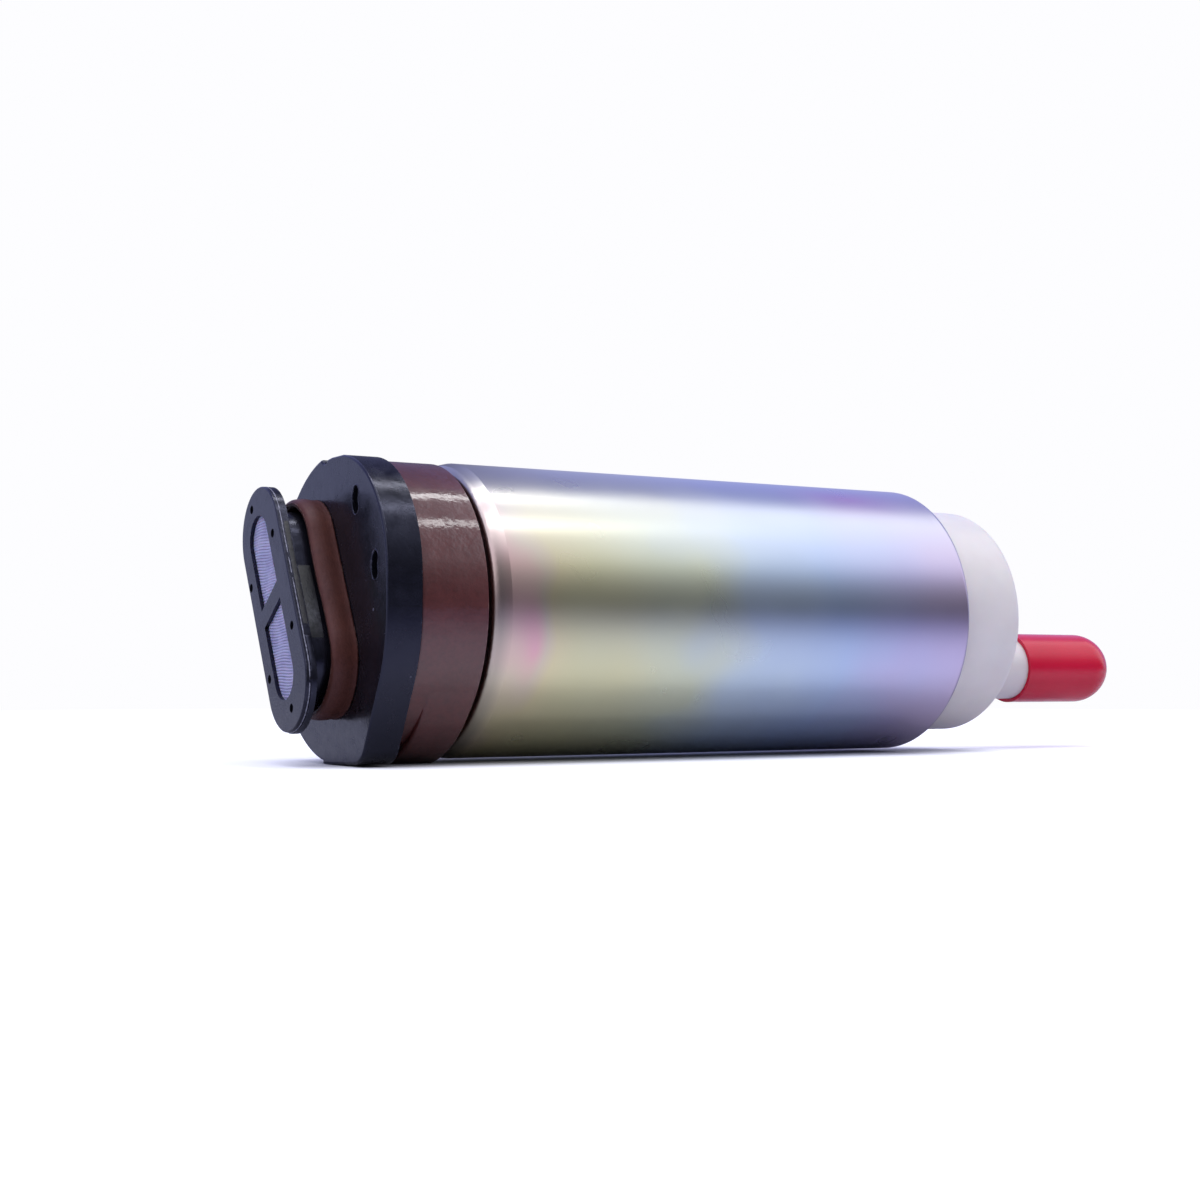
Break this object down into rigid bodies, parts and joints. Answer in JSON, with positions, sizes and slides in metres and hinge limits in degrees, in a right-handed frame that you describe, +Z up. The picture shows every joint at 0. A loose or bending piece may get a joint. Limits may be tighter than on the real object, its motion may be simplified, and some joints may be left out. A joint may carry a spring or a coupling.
{
  "type": "electric fuel pump",
  "caption": "In-tank electric fuel pump in a plated steel can, with a framed inlet strainer at one end and a capped outlet nipple at the other.",
  "frame": {"origin": "on the pump's axis, halfway along the steel can", "axes": "+X along the pump's axis towards the outlet, +Z up as the pump lies on its side"},
  "size_m": [0.1375, 0.038, 0.0384],
  "materials": {
    "zinc_steel": "yellow zinc-passivated drawn steel, satin, faintly iridescent",
    "black_plastic": "glass-filled nylon, moulded semi-gloss",
    "brown_rubber": "moulded nitrile rubber, satin",
    "gauze": "woven nylon filter gauze",
    "seal_rubber": "nitrile O-ring",
    "phenolic": "phenolic resin",
    "shaft_steel": "ground or drawn steel",
    "bush_carbon": "carbon bearing",
    "core_steel": "stacked electrical sheet steel",
    "copper": "copper",
    "ferrite": "sintered ferrite",
    "white_plastic": "moulded acetal, semi-gloss",
    "brass": "turned brass",
    "red_vinyl": "dip-moulded soft vinyl, glossy",
    "brush_carbon": "pressed copper-graphite",
    "tinned_brass": "tinned brass"
  },
  "bodies": {
    "pump": {"can": "zinc_steel", "inlet_plate": "black_plastic", "isolator_sleeve": "brown_rubber", "inlet_grommet": "brown_rubber", "pump_cover": "black_plastic", "pump_casing": "black_plastic", "casing_seal": "seal_rubber", "inlet_bush": "bush_carbon", "outlet_bush": "bush_carbon", "thrust_button": "shaft_steel", "magnet_top": "ferrite", "magnet_bottom": "ferrite", "magnet_clip_left": "shaft_steel", "magnet_clip_right": "shaft_steel", "end_cap": "white_plastic", "cap_seal": "seal_rubber", "check_spring": "shaft_steel", "valve_cage": "brass", "relief_spring": "shaft_steel", "relief_plug": "brass", "brush_spring_left": "shaft_steel", "brush_spring_right": "shaft_steel", "terminal_left": "tinned_brass", "terminal_right": "tinned_brass", "choke_core_left": "ferrite", "choke_core_right": "ferrite", "choke_coil_left": "copper", "choke_coil_right": "copper"},
    "rotor": {"impeller": "phenolic", "shaft": "shaft_steel", "thrust_washers": "phenolic", "armature_core": "core_steel", "core_insulators": "phenolic", "armature_winding": "copper", "commutator_base": "phenolic", "commutator": "copper"},
    "brush_left": {"brush_left": "brush_carbon"},
    "brush_right": {"brush_right": "brush_carbon"},
    "check_valve": {"check_valve": "white_plastic"},
    "relief_ball": {"relief_ball": "shaft_steel"},
    "dust_cover": {"dust_cover": "red_vinyl"},
    "strainer": {"strainer_base": "black_plastic", "strainer_bezel": "black_plastic", "strainer_gauze": "gauze"}
  },
  "joints": [
    {"name": "rotor_spin", "type": "hinge", "parent": "pump", "child": "rotor", "pos_m": [0, 0, 0], "axis": [1, 0, 0], "continuous": true},
    {"name": "brush_left_slide", "type": "slide", "parent": "pump", "child": "brush_left", "axis": [1, 0, 0], "range_m": [0, 0.006], "stiffness_N_per_m": 60, "springref_m": -0.015, "deforming": ["brush_spring_left"]},
    {"name": "brush_right_slide", "type": "slide", "parent": "pump", "child": "brush_right", "axis": [1, 0, 0], "range_m": [0, 0.006], "stiffness_N_per_m": 60, "springref_m": -0.015, "deforming": ["brush_spring_right"]},
    {"name": "check_valve_lift", "type": "slide", "parent": "pump", "child": "check_valve", "axis": [1, 0, 0], "range_m": [0, 0.002], "stiffness_N_per_m": 40, "springref_m": -0.004, "deforming": ["check_spring"]},
    {"name": "relief_ball_lift", "type": "slide", "parent": "pump", "child": "relief_ball", "axis": [1, 0, 0], "range_m": [0, 0.0012], "stiffness_N_per_m": 150, "springref_m": -0.005, "deforming": ["relief_spring"]},
    {"name": "dust_cover_pull", "type": "slide", "parent": "pump", "child": "dust_cover", "axis": [1, 0, 0], "range_m": [0, 0.022]},
    {"name": "strainer_pull", "type": "slide", "parent": "pump", "child": "strainer", "axis": [-1, 0, 0], "range_m": [0, 0.012]}
  ]
}
